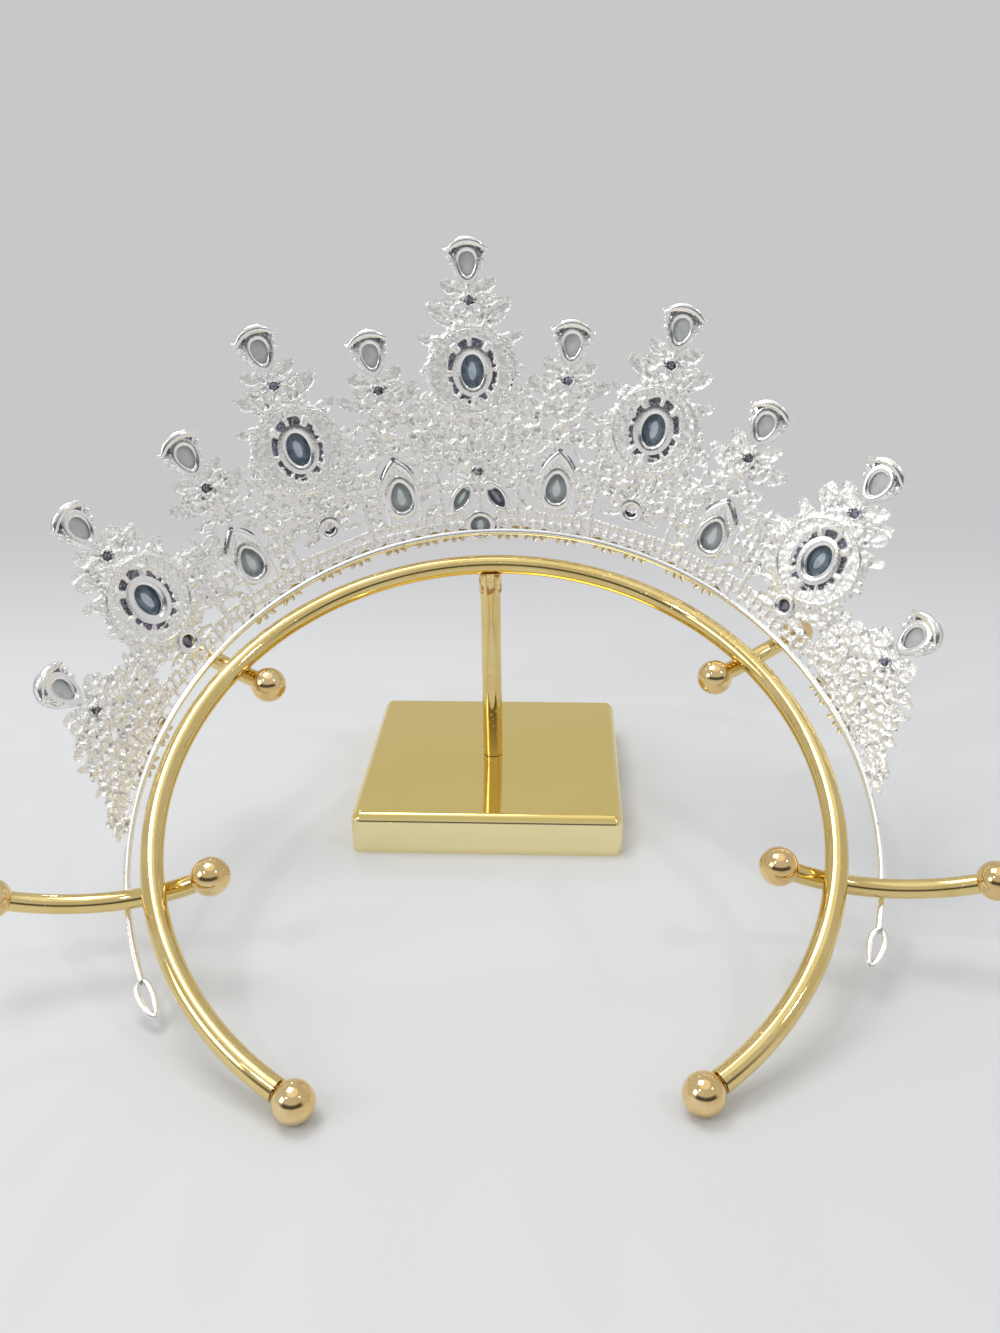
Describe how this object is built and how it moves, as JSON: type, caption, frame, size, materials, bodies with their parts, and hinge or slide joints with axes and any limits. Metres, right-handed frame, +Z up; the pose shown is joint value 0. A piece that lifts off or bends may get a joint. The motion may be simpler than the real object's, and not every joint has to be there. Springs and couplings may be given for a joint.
{
  "type": "diadem on a display stand",
  "caption": "Pierced silver-toned diadem with stone-set points, resting on a gold-toned ring stand with ball-ended arms and a square foot.",
  "frame": {"origin": "middle of the underside of the stand's square foot, on the floor", "axes": "+Z up; -Y towards the front of the diadem, so the open back of the ring and the band's two ends point to +Y; +X to the right seen from the front"},
  "size_m": [0.2078, 0.1558, 0.1386],
  "materials": {
    "gold_plate": "polished pale gold plate",
    "silver_plate": "bright silver plate over a fine cast grain",
    "crystal": "clear cut crystal"
  },
  "bodies": {
    "root": {"base": "gold_plate", "post": "gold_plate", "collar": "gold_plate", "ring": "gold_plate", "ring_ball_left": "gold_plate", "ring_ball_right": "gold_plate", "front_arm_left": "gold_plate", "front_arm_right": "gold_plate", "rear_arm_left": "gold_plate", "rear_arm_right": "gold_plate", "silver_frame": "silver_plate", "tip_stone_centre": "crystal", "tip_stone_inner_small_left": "crystal", "tip_stone_inner_small_right": "crystal", "tip_stone_inner_large_left": "crystal", "tip_stone_inner_large_right": "crystal", "tip_stone_outer_small_left": "crystal", "tip_stone_outer_small_right": "crystal", "tip_stone_outer_large_left": "crystal", "tip_stone_outer_large_right": "crystal", "tip_stone_end_left": "crystal", "tip_stone_end_right": "crystal", "oval_stone_centre": "crystal", "oval_stone_inner_left": "crystal", "oval_stone_inner_right": "crystal", "oval_stone_outer_left": "crystal", "oval_stone_outer_right": "crystal", "low_pear_inner_left": "crystal", "low_pear_inner_right": "crystal", "low_pear_outer_left": "crystal", "low_pear_outer_right": "crystal", "marquise_left": "crystal", "marquise_right": "crystal", "round_stone": "crystal", "small_stone_inner_left": "crystal", "small_stone_inner_right": "crystal", "small_stone_outer_left": "crystal", "small_stone_outer_right": "crystal", "accent_stones": "crystal"}
  },
  "joints": []
}
